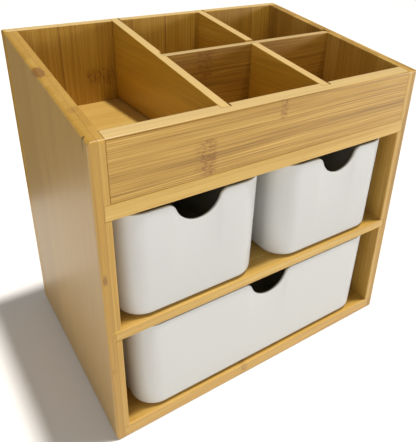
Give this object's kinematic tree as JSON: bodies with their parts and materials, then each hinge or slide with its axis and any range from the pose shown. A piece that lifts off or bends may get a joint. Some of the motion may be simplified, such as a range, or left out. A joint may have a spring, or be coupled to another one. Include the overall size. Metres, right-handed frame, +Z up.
{
  "type": "desk organizer",
  "caption": "Open-fronted bamboo desk organizer with divided compartments on top and white plastic bins that pull out of two bays below.",
  "frame": {"origin": "middle of the carcass's footprint, on the surface that it stands on", "axes": "+X to the right of someone facing the open front, +Y to the back, +Z up"},
  "size_m": [0.25, 0.167, 0.2462],
  "materials": {
    "bamboo_board": "clear satin lacquer over laminated bamboo",
    "bamboo_divider": "clear satin lacquer over thin laminated bamboo",
    "white_plastic": "moulded, fine satin texture",
    "dowel_wood": "unfinished turned beech"
  },
  "bodies": {
    "carcass": {"side_panel_left": "bamboo_board", "side_panel_right": "bamboo_board", "back_panel": "bamboo_board", "front_apron": "bamboo_board", "top_shelf": "bamboo_board", "middle_shelf": "bamboo_board", "bottom_panel": "bamboo_board", "apron_dowel_left_low": "dowel_wood", "apron_dowel_left_high": "dowel_wood", "apron_dowel_right_low": "dowel_wood", "apron_dowel_right_high": "dowel_wood", "back_dowel_left_low": "dowel_wood", "back_dowel_left_mid": "dowel_wood", "back_dowel_left_high": "dowel_wood", "back_dowel_right_low": "dowel_wood", "back_dowel_right_mid": "dowel_wood", "back_dowel_right_high": "dowel_wood"},
    "divider_long": {"divider_long": "bamboo_divider"},
    "divider_mid": {"divider_mid": "bamboo_divider"},
    "divider_cross": {"divider_cross": "bamboo_divider"},
    "bin_small_left": {"bin_small_left": "white_plastic"},
    "bin_small_right": {"bin_small_right": "white_plastic"},
    "bin_wide": {"bin_wide": "white_plastic"}
  },
  "joints": [
    {"name": "bin_small_left_slide", "type": "slide", "parent": "carcass", "child": "bin_small_left", "axis": [0, -1, 0], "range_m": [0, 0.158]},
    {"name": "bin_small_right_slide", "type": "slide", "parent": "carcass", "child": "bin_small_right", "axis": [0, -1, 0], "range_m": [0, 0.158]},
    {"name": "bin_wide_slide", "type": "slide", "parent": "carcass", "child": "bin_wide", "axis": [0, -1, 0], "range_m": [0, 0.158]},
    {"name": "divider_long_lift", "type": "slide", "parent": "carcass", "child": "divider_long", "axis": [0, 0, 1], "range_m": [0, 0.07]},
    {"name": "divider_mid_lift", "type": "slide", "parent": "carcass", "child": "divider_mid", "axis": [0, 0, 1], "range_m": [0, 0.07]},
    {"name": "divider_cross_lift", "type": "slide", "parent": "divider_mid", "child": "divider_cross", "axis": [0, 0, 1], "range_m": [0, 0.07]}
  ]
}
